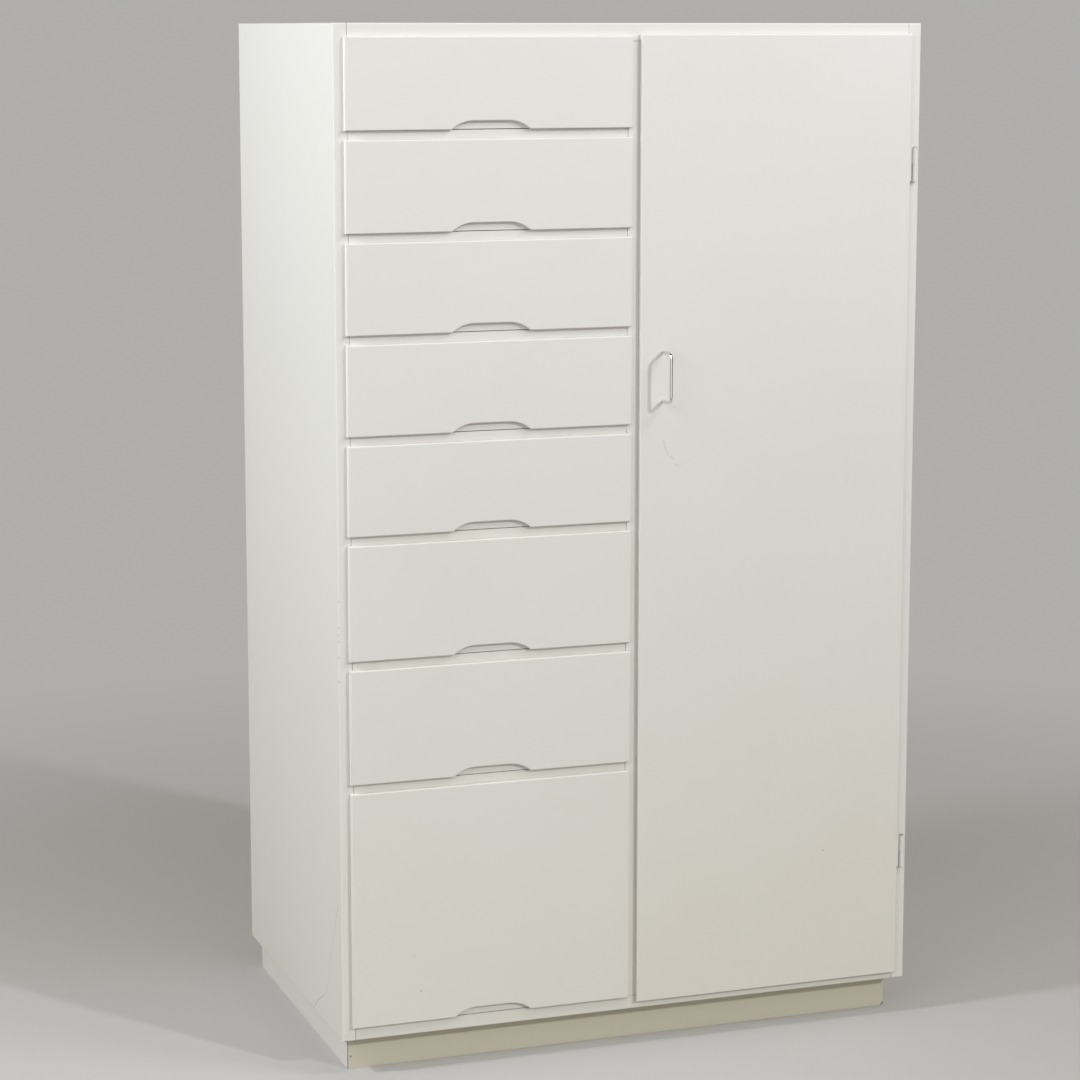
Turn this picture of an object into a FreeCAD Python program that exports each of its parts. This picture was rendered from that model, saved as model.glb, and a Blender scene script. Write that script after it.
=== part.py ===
import FreeCAD, Part

import math
import operator
import os

import Sketcher

# A tall painted cupboard: eight drawers on the left, one full-height door on the right.
# Millimetres. +Z is up, the front faces -Y, the floor is z = 0 and x = y = 0 is the middle.

# Driving dimensions, one row each in the sheet
SIZES = {
    # Carcass
    "carcass_width": 1000.0,
    "carcass_depth": 600.0,
    "panel_thickness": 22.0,
    "top_thickness": 28.0,
    "back_thickness": 6.0,
    "back_lap": 8.0,
    "carcass_arris": 2.0,
    "drawer_bay_width": 464.0,
    "small_opening_height": 136.5,
    "middle_opening_height": 178.0,
    "large_opening_height": 380.0,
    # Rails across the drawer bay and the runners behind them
    "rail_depth": 60.0,
    "rail_arris": 0.6,
    "tenon_length": 10.0,
    "tenon_thickness": 10.0,
    "tenon_shoulder": 10.0,
    "runner_width": 18.0,
    # Plinth
    "plinth_height": 60.0,
    "plinth_thickness": 18.0,
    "plinth_side_inset": 18.5,
    "plinth_front_setback": 37.0,
    # Drawer faces, which lap over the carcass
    "face_thickness": 8.0,
    "face_gap": 0.3,
    "face_lap_left": 5.6,
    "face_lap_right": 5.0,
    "face_lap_top": 7.5,
    "face_lift": 0.2,
    "face_arris": 2.0,
    "notch_width": 130.0,
    "notch_flat": 57.0,
    "notch_depth": 13.5,
    "grip_bevel": 4.0,
    # Dovetailed drawer boxes
    "box_length": 560.0,
    "box_side_gap": 1.0,
    "box_running_gap": 0.3,
    "box_head_gap": 6.0,
    "front_board_thickness": 16.0,
    "front_board_lift": 0.9,
    "side_board_thickness": 12.0,
    "rear_board_thickness": 12.0,
    "rear_board_drop": 12.0,
    "drawer_bottom_thickness": 5.0,
    "bottom_lift": 10.0,
    "groove_depth": 6.0,
    "tail_pitch": 42.0,
    "pin_width_front": 8.0,
    "pin_width_rear": 13.0,
    # Lipped door
    "door_thickness": 22.0,
    "door_stand_off": 0.8,
    "door_edge_gap": 1.5,
    "door_lap_left": 2.5,
    "door_lap_right": 3.0,
    "door_lap_bottom": 9.5,
    "door_lap_top": 10.5,
    # Wire handle
    "handle_centres": 80.0,
    "handle_reach": 35.0,
    "handle_inset": 39.5,
    "handle_height": 1059.0,
    "wire_diameter": 5.2,
    "wire_bend_radius": 9.0,
    "handle_screw_diameter": 3.0,
    "handle_screw_grip": 8.0,
    "handle_screw_head": 6.4,
    "handle_screw_head_height": 2.0,
    "screw_play": 0.15,
    # Lift-off hinges
    "hinge_length": 55.0,
    "hinge_inset": 213.0,
    "hinge_split": 0.4,
    "hinge_edge_distance": 10.0,
    "hinge_axis_reach": 3.5,
    "knuckle_diameter": 6.5,
    "hinge_pin_diameter": 3.0,
    "pin_play": 0.05,
    "pin_cap_height": 2.6,
    "pin_cap_flat": 3.0,
    "leaf_thickness": 1.5,
    "leaf_end_gap": 0.5,
    "leaf_side_gap": 0.8,
    "frame_leaf_length": 38.0,
    "door_leaf_length": 32.0,
    # Shelves behind the door, on battens
    "shelf_thickness": 18.0,
    "shelf_side_gap": 1.0,
    "shelf_setback": 30.0,
    "shelf_arris": 1.0,
    "batten_width": 12.0,
    "batten_height": 20.0,
    # Door catch
    "catch_height": 40.0,
    "catch_width": 14.0,
    "catch_depth": 11.0,
    "catch_gap": 0.3,
    "strike_thickness": 1.0,
}

# Counts
SMALL_DRAWERS = 5
MIDDLE_DRAWERS = 2
LARGE_DRAWERS = 1
SHELVES = 4

HORIZONTAL_AXIS, VERTICAL_AXIS = range(-1, -3, -1)
START, END, CENTRE = range(1, 4)
NEARLY = 0.01

doc = FreeCAD.newDocument("DrawerCabinet")
sheet = doc.addObject("Spreadsheet::Sheet", "Sizes")
places = doc.addObject("App::VarSet", "Places")
nodes = {}
SIGNS = {"+": operator.add, "-": operator.sub, "*": operator.mul, "/": operator.truediv}


# Sizes that carry both their number and their expression

class Size:
    """A length with its number and the expression that ties it to the sheet."""

    def __init__(self, text, number):
        self.text = text
        self.number = number

    def __add__(self, other):
        return joined(self, "+", other)

    def __radd__(self, other):
        return joined(other, "+", self)

    def __sub__(self, other):
        return joined(self, "-", other)

    def __rsub__(self, other):
        return joined(other, "-", self)

    def __mul__(self, other):
        return joined(self, "*", other)

    def __rmul__(self, other):
        return joined(other, "*", self)

    def __truediv__(self, other):
        return joined(self, "/", other)

    def __neg__(self):
        return joined(0.0, "-", self)


def sized(value):
    """A plain number as a Size, or the Size itself."""
    if isinstance(value, Size):
        return value
    return Size(f"({value})", float(value))


def joined(first, sign, second):
    """Two lengths put together, as number and as expression."""
    first, second = sized(first), sized(second)
    return Size(f"({first.text} {sign} {second.text})", SIGNS[sign](first.number, second.number))


def size(name):
    """A driving dimension by its name in the sheet."""
    return Size(f"Sizes.{name}", SIZES[name])


def placed(name, length):
    """A worked-out length, kept by name beside the sheet."""
    places.addProperty("App::PropertyFloat", name)
    places.setExpression(name, length.text)
    return Size(f"Places.{name}", length.number)


def fill_sheet():
    for row, (name, number) in enumerate(SIZES.items(), start=1):
        sheet.set(f"A{row}", name)
        sheet.set(f"B{row}", str(number))
        sheet.setAlias(f"B{row}", name)
    doc.recompute()


# Small tools for boards, sketches and features

def bind(thing, prop, length):
    thing.setExpression(prop, sized(length).text)


def put(thing, x, y, z):
    """Ties the place of a piece."""
    for axis, length in zip("xyz", (x, y, z)):
        bind(thing, f"Placement.Base.{axis}", length)


def named(name, thing):
    """Makes a finished piece a node of the part."""
    thing.Label = name
    nodes[name] = thing
    return thing


def board(name, low, high):
    """A plain square-edged board between two corners."""
    box = doc.addObject("Part::Box", name)
    for side, start, end in zip(("Length", "Width", "Height"), low, high):
        bind(box, side, end - start)
    put(box, *low)
    return box


def rod(name, radius, length, x, y, z, direction):
    """A round bar from a point along an axis."""
    bar = doc.addObject("Part::Cylinder", name)
    bind(bar, "Radius", radius)
    bind(bar, "Height", length)
    bar.Placement.Rotation = FreeCAD.Rotation(FreeCAD.Vector(0, 0, 1), FreeCAD.Vector(*direction))
    put(bar, x, y, z)
    return bar


def compound(name, pieces):
    whole = doc.addObject("Part::Compound", name)
    whole.Links = pieces
    return whole


def cut(name, base, tools):
    """A piece with other shapes cut out of it."""
    remains = doc.addObject("Part::Cut", name)
    remains.Base = base
    remains.Tool = tools[0] if len(tools) == 1 else compound(f"{name}_cutters", tools)
    return remains


def joined_solids(name, first, second):
    """Two shapes made into one solid."""
    whole = doc.addObject("Part::Fuse", name)
    whole.Base = first
    whole.Tool = second
    return whole


def new_body(name):
    return doc.addObject("PartDesign::Body", name)


def sketch_on(body, role, name, offset=None):
    """A sketch on one of the body's own origin planes, raised by an offset."""
    plane = next(part for part in body.Origin.OriginFeatures if part.Role == role)
    sketch = body.newObject("Sketcher::SketchObject", name)
    sketch.AttachmentSupport = [(plane, "")]
    sketch.MapMode = "FlatFace"
    if offset is not None:
        bind(sketch, "AttachmentOffset.Base.z", offset)
    return sketch


def tie_point(sketch, index, end, across, up):
    """Ties one point of a sketch to its distances from the sketch's origin."""
    for kind, axis, length in (("DistanceX", VERTICAL_AXIS, across), ("DistanceY", HORIZONTAL_AXIS, up)):
        length = sized(length)
        if length.number == 0:
            sketch.addConstraint(Sketcher.Constraint("PointOnObject", index, end, axis))
        else:
            tie = Sketcher.Constraint(kind, HORIZONTAL_AXIS, START, index, end, length.number)
            sketch.setExpression(f"Constraints[{sketch.addConstraint(tie)}]", length.text)


def arc_between(start, end, centre_across):
    """The smaller arc between two points whose centre lies at a given distance across, and
    whether it runs from the end back to the start: a sketch's arcs all turn anticlockwise."""
    centre_up = (
        (start.x - centre_across) ** 2 + start.y ** 2 - (end.x - centre_across) ** 2 - end.y ** 2
    ) / (2 * (start.y - end.y))
    centre = FreeCAD.Vector(centre_across, centre_up, 0)
    ring = Part.Circle(centre, FreeCAD.Vector(0, 0, 1), (start - centre).Length)
    first = math.atan2(start.y - centre.y, start.x - centre.x)
    last = math.atan2(end.y - centre.y, end.x - centre.x)
    turned = (last - first) % math.tau > math.pi
    if turned:
        first, last = last, first
    return Part.ArcOfCircle(ring, first, first + (last - first) % math.tau), turned


def outline(sketch, corners, closed=True):
    """Lines and arcs from corner to corner. A corner is (across, up), or (across, up, centre across)
    where an arc leads on from it to the next corner."""
    points = [FreeCAD.Vector(sized(c[0]).number, sized(c[1]).number, 0) for c in corners]
    runs = len(corners) if closed else len(corners) - 1
    heads = []
    tails = []
    for run in range(runs):
        corner = corners[run]
        start, end = points[run], points[(run + 1) % len(points)]
        if len(corner) == 2:
            index = sketch.addGeometry(Part.LineSegment(start, end), False)
            turned = False
        else:
            arc, turned = arc_between(start, end, sized(corner[2]).number)
            index = sketch.addGeometry(arc, False)
        heads.append((index, END if turned else START))
        tails.append((index, START if turned else END))
    for run in range(runs):
        across, up = corners[run][:2]
        tie_point(sketch, *heads[run], across, up)
        if run + 1 < runs or closed:
            following = heads[(run + 1) % runs]
            sketch.addConstraint(Sketcher.Constraint("Coincident", *tails[run], *following))
        else:
            tie_point(sketch, *tails[run], *corners[-1][:2])
        if len(corners[run]) == 3:
            tie_centre(sketch, heads[run][0], corners[run][2])
    return sketch


def tie_centre(sketch, index, across):
    """Ties how far across an arc's centre lies."""
    across = sized(across)
    if across.number == 0:
        sketch.addConstraint(Sketcher.Constraint("PointOnObject", index, CENTRE, VERTICAL_AXIS))
        return
    tie = Sketcher.Constraint("DistanceX", HORIZONTAL_AXIS, START, index, CENTRE, across.number)
    sketch.setExpression(f"Constraints[{sketch.addConstraint(tie)}]", across.text)


def rectangle(sketch, left, low, right, high):
    return outline(sketch, [(left, low), (right, low), (right, high), (left, high)])


def circle(sketch, across, up, radius):
    centre = FreeCAD.Vector(sized(across).number, sized(up).number, 0)
    ring = Part.Circle(centre, FreeCAD.Vector(0, 0, 1), sized(radius).number)
    index = sketch.addGeometry(ring, False)
    tie_point(sketch, index, CENTRE, across, up)
    tie = sketch.addConstraint(Sketcher.Constraint("Radius", index, sized(radius).number))
    sketch.setExpression(f"Constraints[{tie}]", sized(radius).text)
    return sketch


def pad(body, sketch, length, backwards=False):
    feature = body.newObject("PartDesign::Pad", f"{sketch.Name}_pad")
    feature.Profile = sketch
    feature.Reversed = backwards
    bind(feature, "Length", length)
    return feature


def pocket(body, sketch, length=None, backwards=False):
    """A pocket of a given depth, or right through. It has to take something away."""
    doc.recompute()
    before = body.Shape.Volume
    feature = body.newObject("PartDesign::Pocket", f"{sketch.Name}_pocket")
    feature.Profile = sketch
    feature.Reversed = backwards
    if length is None:
        feature.Type = "ThroughAll"
    else:
        bind(feature, "Length", length)
    doc.recompute()
    if before - body.Shape.Volume < NEARLY:
        raise RuntimeError(f"{feature.Name} takes nothing away")
    return feature


def revolve(body, sketch):
    feature = body.newObject("PartDesign::Revolution", f"{sketch.Name}_turned")
    feature.Profile = sketch
    feature.ReferenceAxis = (sketch, ["V_Axis"])
    feature.Angle = 360.0
    return feature


def repeated(body, feature, length, count):
    """Copies of a feature, spread evenly up the body over a length."""
    upright = next(part for part in body.Origin.OriginFeatures if part.Role == "Z_Axis")
    pattern = body.newObject("PartDesign::LinearPattern", f"{feature.Name}_row")
    pattern.Originals = [feature]
    pattern.Direction = (upright, [""])
    bind(pattern, "Length", length)
    bind(pattern, "Occurrences", count)
    body.Tip = pattern
    return pattern


def edge_names(shape, wanted):
    """The names of a shape's edges whose two ends and middle all lie where wanted."""
    names = []
    for number, edge in enumerate(shape.Edges, start=1):
        middle = edge.valueAt((edge.FirstParameter + edge.LastParameter) / 2)
        if all(wanted(point) for point in [vertex.Point for vertex in edge.Vertexes] + [middle]):
            names.append(f"Edge{number}")
    return names


def eased(body, kind, length, wanted):
    """Rounds or bevels the wanted edges of the body's last feature."""
    doc.recompute()
    feature = body.newObject(f"PartDesign::{kind}", f"{body.Name}_{kind.lower()}")
    base = body.Group[-2]
    feature.Base = (base, edge_names(base.Shape, wanted))
    bind(feature, "Radius" if kind == "Fillet" else "Size", length)
    return feature


def close(first, second):
    return abs(first - sized(second).number) < NEARLY


def lengthwise_front(thickness):
    """Finds the upper and lower front edges of a board that lies flat."""
    return lambda point: close(point.y, 0) and (close(point.z, 0) or close(point.z, thickness))


# Worked-out lengths

fill_sheet()

width = size("carcass_width")
depth = size("carcass_depth")
panel = size("panel_thickness")
wire_radius = size("wire_diameter") / 2

front_proud = size("face_gap") + size("face_thickness")
left = placed("left", -width / 2)
right = placed("right", width / 2)
front = placed("front", (front_proud + size("handle_reach") + wire_radius - depth) / 2)
rear = placed("rear", front + depth)
base = placed("base", size("plinth_height"))
back_front = placed("back_front", rear - size("back_thickness"))
face_back = placed("face_back", front - size("face_gap"))

bay_left = placed("bay_left", left + panel)
bay_right = placed("bay_right", bay_left + size("drawer_bay_width"))
bay_middle = placed("bay_middle", (bay_left + bay_right) / 2)
door_bay_left = placed("door_bay_left", bay_right + panel)
door_bay_right = placed("door_bay_right", right - panel)
floor_top = placed("floor_top", base + panel)

# Drawer openings from the bottom up, each with the level it stands on
OPENINGS = (
    ["large_opening_height"] * LARGE_DRAWERS
    + ["middle_opening_height"] * MIDDLE_DRAWERS
    + ["small_opening_height"] * SMALL_DRAWERS
)
DRAWERS = len(OPENINGS)


def drawer_levels():
    """The number, level and clear height of each drawer opening, counted from the top."""
    levels = []
    level = floor_top
    for step, opening in enumerate(OPENINGS):
        number = DRAWERS - step
        level = placed(f"level_{number}", level)
        levels.append((number, level, size(opening)))
        level = level + size(opening) + panel
    return levels


levels = drawer_levels()
top_under = placed("top_under", levels[-1][1] + levels[-1][2])
top = placed("top", top_under + size("top_thickness"))
carcass_height = placed("carcass_height", top - base)

shelf_bay_height = top_under - floor_top
shelf_space = placed(
    "shelf_space", (shelf_bay_height - SHELVES * size("shelf_thickness")) / (SHELVES + 1)
)

door_left = placed("door_left", door_bay_left - size("door_lap_left"))
door_right = placed("door_right", door_bay_right + size("door_lap_right"))
door_bottom = placed("door_bottom", floor_top - size("door_lap_bottom"))
door_top = placed("door_top", top_under + size("door_lap_top"))
lip_back = placed("lip_back", front - size("door_stand_off"))
lip_thickness = placed("lip_thickness", front_proud - size("door_stand_off"))
door_back = placed("door_back", front - front_proud + size("door_thickness"))
handle_middle = placed("handle_middle", base + size("handle_height"))

hinge_x = placed("hinge_x", door_right + size("hinge_edge_distance"))
hinge_y = placed("hinge_y", front - size("hinge_axis_reach"))
knuckle_radius = size("knuckle_diameter") / 2
pin_radius = size("hinge_pin_diameter") / 2
bore_radius = pin_radius + size("pin_play")
half_hinge = size("hinge_length") / 2
half_split = size("hinge_split") / 2
HINGES = {"upper": door_top - size("hinge_inset"), "lower": door_bottom + size("hinge_inset")}


# Hinges

def knuckle(body, name, upwards):
    """A rolled knuckle round the axis, above or below the split, bored for the pin."""
    length = half_hinge - half_split
    start = half_split if upwards else -half_hinge
    ring = sketch_on(body, "XY_Plane", f"{name}_knuckle", start)
    circle(ring, 0, 0, knuckle_radius)
    pad(body, ring, length)
    bore = sketch_on(body, "XY_Plane", f"{name}_bore", start + length)
    circle(bore, 0, 0, pin_radius if upwards else bore_radius)
    pocket(body, bore, length)


def frame_leaf(name, level):
    """The leaf let into the side panel: across its front edge, then back along its inner face."""
    thick = size("leaf_thickness")
    reach = size("hinge_axis_reach")
    inner = -(size("hinge_edge_distance") + size("door_lap_right"))
    leg_end = reach + size("frame_leaf_length")
    body = new_body(name)
    plate = sketch_on(body, "XY_Plane", f"{name}_plate", -half_hinge)
    outline(plate, [
        (inner, reach),
        (knuckle_radius, reach),
        (knuckle_radius, reach + thick),
        (inner + thick, reach + thick),
        (inner + thick, leg_end),
        (inner, leg_end),
    ])
    pad(body, plate, size("hinge_length"))
    neck = sketch_on(body, "XY_Plane", f"{name}_neck", -half_hinge)
    rectangle(neck, knuckle_radius - thick, 0, knuckle_radius, reach + thick)
    pad(body, neck, half_hinge - half_split)
    knuckle(body, name, False)
    put(body, hinge_x, hinge_y, level)
    return named(name, body)


def door_leaf(name, level):
    """The cranked leaf: behind the door's lip, round the rebate's edge and onto the door's back."""
    thick = size("leaf_thickness")
    end = -(knuckle_radius + size("leaf_end_gap"))
    outer = -(size("hinge_edge_distance") + size("door_lap_right") + size("leaf_side_gap"))
    seat = size("hinge_axis_reach") + size("door_thickness") - front_proud
    leg_end = outer - size("door_leaf_length")
    near = knuckle_radius - thick
    body = new_body(name)
    plate = sketch_on(body, "XY_Plane", f"{name}_plate", -half_hinge)
    outline(plate, [
        (end, near),
        (end, knuckle_radius),
        (outer, knuckle_radius),
        (outer, seat + thick),
        (leg_end, seat + thick),
        (leg_end, seat),
        (outer - thick, seat),
        (outer - thick, near),
    ])
    pad(body, plate, size("hinge_length"))
    neck = sketch_on(body, "XY_Plane", f"{name}_neck", half_split)
    rectangle(neck, end - thick, near, 0, knuckle_radius)
    pad(body, neck, half_hinge - half_split)
    knuckle(body, name, True)
    put(body, hinge_x, hinge_y, level)
    return named(name, body)


def hinge_pin(name, level):
    """The pin is held in the door's knuckle and its lower half turns in the frame's."""
    body = new_body(name)
    sketch = sketch_on(body, "XZ_Plane", f"{name}_half")
    outline(sketch, [
        (0, -half_hinge),
        (pin_radius, -half_hinge),
        (pin_radius, half_hinge),
        (knuckle_radius, half_hinge),
        (size("pin_cap_flat") / 2, half_hinge + size("pin_cap_height")),
        (0, half_hinge + size("pin_cap_height")),
    ])
    revolve(body, sketch)
    put(body, hinge_x, hinge_y, level)
    return body


def make_hinges():
    """Both hinges. Their leaves are let into the side panel and the door."""
    frame_leaves = [frame_leaf(f"hinge_frame_leaf_{hinge}", level) for hinge, level in HINGES.items()]
    door_leaves = [door_leaf(f"hinge_door_leaf_{hinge}", level) for hinge, level in HINGES.items()]
    pins = [hinge_pin(f"hinge_pin_{hinge}", level) for hinge, level in HINGES.items()]
    named("hinge_pins", compound("hinge_pins", pins))
    return frame_leaves, door_leaves


# Handle and door

def make_handle():
    """A bow of round wire with two straight legs, tapped for a screw at each end."""
    reach = size("handle_reach")
    bend = size("wire_bend_radius")
    high = size("handle_centres")
    body = new_body("door_handle")
    path = sketch_on(body, "YZ_Plane", "handle_path")
    outline(path, [
        (0, 0),
        (bend - reach, 0, bend - reach),
        (-reach, bend),
        (-reach, high - bend, bend - reach),
        (bend - reach, high),
        (0, high),
    ], closed=False)
    section = sketch_on(body, "XZ_Plane", "handle_section")
    circle(section, 0, 0, wire_radius)
    wire = body.newObject("PartDesign::AdditivePipe", "handle_wire")
    wire.Profile = section
    wire.Spine = path
    taps = sketch_on(body, "XZ_Plane", "handle_taps")
    shank = size("handle_screw_diameter") / 2
    tap_radius = shank + size("screw_play")
    for up in (0, high):
        circle(taps, 0, up, tap_radius)
    pocket(body, taps, size("handle_screw_grip") + size("screw_play"), backwards=True)
    handle_x = door_left + size("handle_inset")
    low = handle_middle - high / 2
    put(body, handle_x, front - front_proud, low)
    named("door_handle", body)

    screws = []
    holes = []
    reach_in = size("door_thickness") + size("handle_screw_grip")
    head = size("handle_screw_head") / 2
    for end, level in (("low", low), ("high", low + high)):
        name = f"handle_screw_{end}"
        seat = (handle_x, door_back, level)
        stem = rod(f"{name}_shank", shank, reach_in, *seat, (0, -1, 0))
        cap = rod(f"{name}_head", head, size("handle_screw_head_height"), *seat, (0, 1, 0))
        screws.append(joined_solids(name, stem, cap))
        holes.append(rod(f"{name}_hole", tap_radius, reach_in, *seat, (0, -1, 0)))
    named("handle_screws", compound("handle_screws", screws))
    return holes


def make_door(recesses):
    """The lipped door: a wide front layer that laps the carcass, and a rebated inner layer."""
    door_width = door_right - door_left
    door_height = door_top - door_bottom
    gap = size("door_edge_gap")
    body = new_body("door_board")
    lip = sketch_on(body, "XZ_Plane", "door_lip")
    rectangle(lip, 0, 0, door_width, door_height)
    pad(body, lip, lip_thickness)
    inset = sketch_on(body, "XZ_Plane", "door_inset")
    rectangle(
        inset,
        size("door_lap_left") + gap,
        size("door_lap_bottom") + gap,
        door_width - size("door_lap_right") - gap,
        door_height - size("door_lap_top") - gap,
    )
    pad(body, inset, size("door_thickness") - lip_thickness, backwards=True)
    eased(body, "Fillet", size("face_arris"), lambda point: close(point.y, -lip_thickness))
    put(body, door_left, lip_back, door_bottom)
    named("door_panel", cut("door_panel", body, recesses))


def make_catch():
    """A magnetic catch on the partition and its strike plate on the door."""
    low = handle_middle - size("catch_height") / 2
    high = handle_middle + size("catch_height") / 2
    strike_left = door_bay_left + size("door_edge_gap")
    strike_front = door_back + size("strike_thickness")
    catch_front = strike_front + size("catch_gap")
    named("catch_strike", board(
        "catch_strike",
        (strike_left, door_back, low),
        (strike_left + size("catch_width"), strike_front, high),
    ))
    named("catch_magnet", board(
        "catch_magnet",
        (door_bay_left, catch_front, low),
        (door_bay_left + size("catch_width"), catch_front + size("catch_depth"), high),
    ))


# Carcass

def side_panel(name, x, hand):
    """A side panel with a rebate for the back. It is drawn from its inner face outwards."""
    outer = hand * panel
    notch = hand * size("back_lap")
    body = new_body(f"{name}_board")
    plan = sketch_on(body, "XY_Plane", f"{name}_plan")
    outline(plan, [
        (0, 0),
        (outer, 0),
        (outer, depth),
        (notch, depth),
        (notch, depth - size("back_thickness")),
        (0, depth - size("back_thickness")),
    ])
    pad(body, plan, carcass_height)

    def outer_edge(point):
        end = close(point.z, 0) or close(point.z, carcass_height)
        return close(point.x, outer) or (close(point.y, 0) and end)

    eased(body, "Fillet", size("carcass_arris"), outer_edge)
    put(body, x, front, base)
    return body


def make_sides(hinge_recesses, rails):
    left_board = side_panel("side_panel_left", bay_left, -1)
    named("side_panel_left", cut("side_panel_left", left_board, rails))
    right_board = side_panel("side_panel_right", door_bay_right, 1)
    named("side_panel_right", cut("side_panel_right", right_board, hinge_recesses))


def make_partition(rails):
    body = new_body("partition_board")
    plan = sketch_on(body, "XY_Plane", "partition_plan")
    rectangle(plan, -panel, 0, 0, depth - size("back_thickness"))
    pad(body, plan, top_under - floor_top)
    put(body, door_bay_left, front, floor_top)
    named("partition", cut("partition", body, rails))


def cross_panel(name, thickness, level, arris_up):
    """The top or the bottom panel, between the sides, with its outer front edge eased."""
    body = new_body(name)
    section = sketch_on(body, "YZ_Plane", f"{name}_section")
    rectangle(section, 0, 0, depth - size("back_thickness"), thickness)
    pad(body, section, width - 2 * panel)
    edge = thickness if arris_up else 0
    eased(
        body, "Fillet", size("carcass_arris"), lambda point: close(point.y, 0) and close(point.z, edge)
    )
    put(body, bay_left, front, level)
    return named(name, body)


def make_rail(number, level):
    """A rail across the drawer bay, with a stub tenon at each end."""
    name = f"rail_{number}"
    bay = size("drawer_bay_width")
    body = new_body(name)
    plan = sketch_on(body, "XY_Plane", f"{name}_plan")
    rectangle(plan, 0, 0, bay, size("rail_depth"))
    pad(body, plan, panel)
    eased(body, "Chamfer", size("rail_arris"), lengthwise_front(panel))
    tenons = sketch_on(body, "XY_Plane", f"{name}_tenons", (panel - size("tenon_thickness")) / 2)
    shoulder = size("tenon_shoulder")
    reach = size("tenon_length")
    rectangle(tenons, -reach, shoulder, bay + reach, size("rail_depth") - shoulder)
    pad(body, tenons, size("tenon_thickness"))
    put(body, bay_left, front, level - panel)
    return named(name, body)


def make_runners():
    """A strip on each wall behind each rail, level with it, for the drawer above."""
    strips = []
    for number, level, _ in levels[1:]:
        for side, x in (("left", bay_left), ("right", bay_right - size("runner_width"))):
            strips.append(board(
                f"runner_{number}_{side}",
                (x, front + size("rail_depth"), level - panel),
                (x + size("runner_width"), back_front, level),
            ))
    named("drawer_runners", compound("drawer_runners", strips))


def make_back():
    lap = size("back_lap")
    named("back_panel", board(
        "back_panel", (bay_left - lap, back_front, base), (door_bay_right + lap, rear, top)
    ))


def mitred_board(name, points):
    """A plinth board from its plan."""
    body = new_body(name)
    plan = sketch_on(body, "XY_Plane", f"{name}_plan")
    outline(plan, points)
    pad(body, plan, base)
    return named(name, body)


def make_plinth():
    """A plinth frame, mitred at the front, with its back board between the sides."""
    thick = size("plinth_thickness")
    outer = width / 2 - size("plinth_side_inset")
    inner = outer - thick
    face = front + size("plinth_front_setback")
    mitre = face + thick
    mitred_board("plinth_front", [(-outer, face), (outer, face), (inner, mitre), (-inner, mitre)])
    mitred_board("plinth_left", [(-outer, face), (-inner, mitre), (-inner, rear), (-outer, rear)])
    mitred_board("plinth_right", [(outer, face), (outer, rear), (inner, rear), (inner, mitre)])
    named("plinth_back", board("plinth_back", (-inner, rear - thick, sized(0)), (inner, rear, base)))


def make_shelves():
    """The shelves, each on a batten at either side."""
    gap = size("shelf_side_gap")
    wide = size("batten_width")
    face = front + size("shelf_setback")
    battens = []
    for number in range(1, SHELVES + 1):
        level = floor_top + number * shelf_space + (number - 1) * size("shelf_thickness")
        name = f"shelf_{number}"
        body = new_body(name)
        section = sketch_on(body, "YZ_Plane", f"{name}_section")
        rectangle(section, 0, 0, back_front - face, size("shelf_thickness"))
        pad(body, section, door_bay_right - door_bay_left - 2 * gap)
        eased(body, "Chamfer", size("shelf_arris"), lengthwise_front(size("shelf_thickness")))
        put(body, door_bay_left + gap, face, level)
        named(name, body)
        for side, x in (("left", door_bay_left), ("right", door_bay_right - wide)):
            battens.append(board(
                f"batten_{number}_{side}",
                (x, face, level - size("batten_height")),
                (x + wide, back_front, level),
            ))
    named("shelf_battens", compound("shelf_battens", battens))


# Drawers

def drawer_face(number, level, opening):
    """The applied face. Its lower edge has a shallow arched notch, bevelled behind for the fingers."""
    name = f"drawer_{number}_face"
    half_bay = size("drawer_bay_width") / 2
    high = opening + size("face_lap_top") - size("face_lift")
    half_notch = size("notch_width") / 2
    half_flat = size("notch_flat") / 2
    deep = size("notch_depth")
    body = new_body(name)
    shape = sketch_on(body, "XZ_Plane", f"{name}_outline")
    outline(shape, [
        (-half_bay - size("face_lap_left"), 0),
        (-half_notch, 0, -half_flat),
        (-half_flat, deep),
        (half_flat, deep, half_flat),
        (half_notch, 0),
        (half_bay + size("face_lap_right"), 0),
        (half_bay + size("face_lap_right"), high),
        (-half_bay - size("face_lap_left"), high),
    ])
    pad(body, shape, size("face_thickness"))

    def notch_rim(point):
        inside = abs(point.x) < half_notch.number + NEARLY and point.z < deep.number + NEARLY
        return close(point.y, 0) and inside

    eased(body, "Chamfer", size("face_arris"), lambda point: close(point.y, -size("face_thickness")))
    eased(body, "Chamfer", size("grip_bevel"), notch_rim)
    put(body, bay_middle, face_back, level + size("face_lift"))
    return named(name, body)


def dovetailed_side(name, high):
    """A side board, its front end cut into tails. Half pins lie at the top and the bottom."""
    thick = size("side_board_thickness")
    deep = size("front_board_thickness")
    body = new_body(name)
    face = sketch_on(body, "YZ_Plane", f"{name}_face")
    rectangle(face, 0, 0, size("box_length"), high)
    pad(body, face, thick)
    socket = sketch_on(body, "YZ_Plane", f"{name}_socket")
    narrow = size("pin_width_front") / 2
    wide = size("pin_width_rear") / 2
    outline(socket, [(0, -narrow), (deep, -wide), (deep, wide), (0, narrow)])
    first = pocket(body, socket, backwards=True)
    tails = high / size("tail_pitch")
    sockets = Size(f"(round({tails.text}) + 1)", round(tails.number) + 1)
    repeated(body, first, high, sockets)
    return body


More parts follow.
